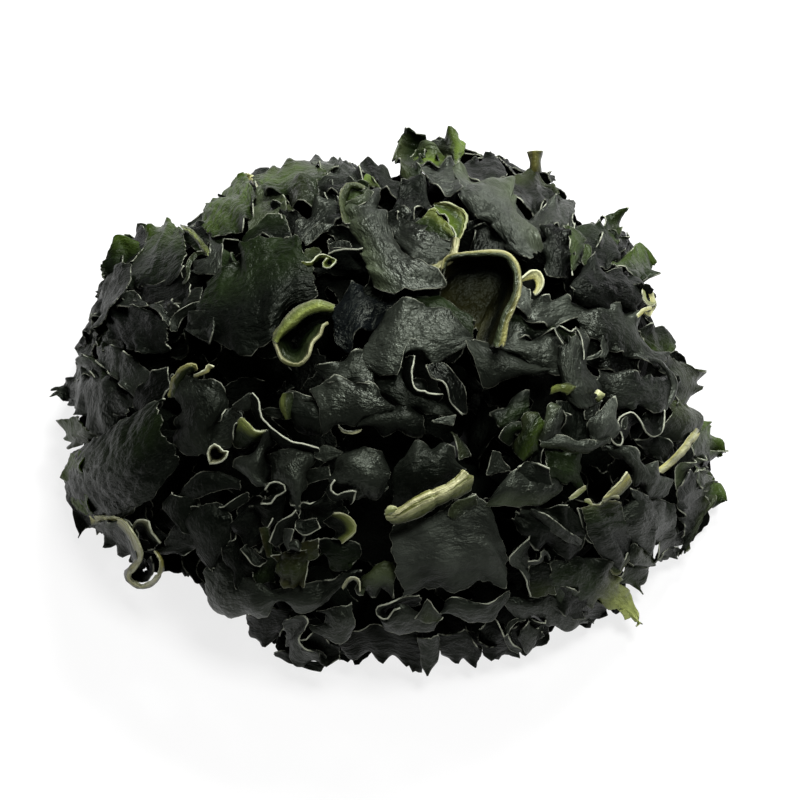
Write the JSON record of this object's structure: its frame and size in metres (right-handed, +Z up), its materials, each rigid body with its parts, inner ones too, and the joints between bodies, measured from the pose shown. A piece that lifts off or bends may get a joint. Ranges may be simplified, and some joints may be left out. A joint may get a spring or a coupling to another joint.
{
  "type": "dried wakame",
  "caption": "A loose heap of dried wakame seaweed: crisp, dark green-black torn leaves, curled and folded over one another in a rounded mound that stands on its flat underside.",
  "frame": {"origin": "the middle of the heap's flat underside, in the plane that it rests on", "axes": "+Z up out of the heap, +X to the right along its length, and the front towards -Y"},
  "size_m": [0.1576, 0.1515, 0.0704],
  "materials": {
    "wakame": "satin"
  },
  "bodies": {
    "root": {"wakame_heap": "wakame"}
  },
  "joints": []
}
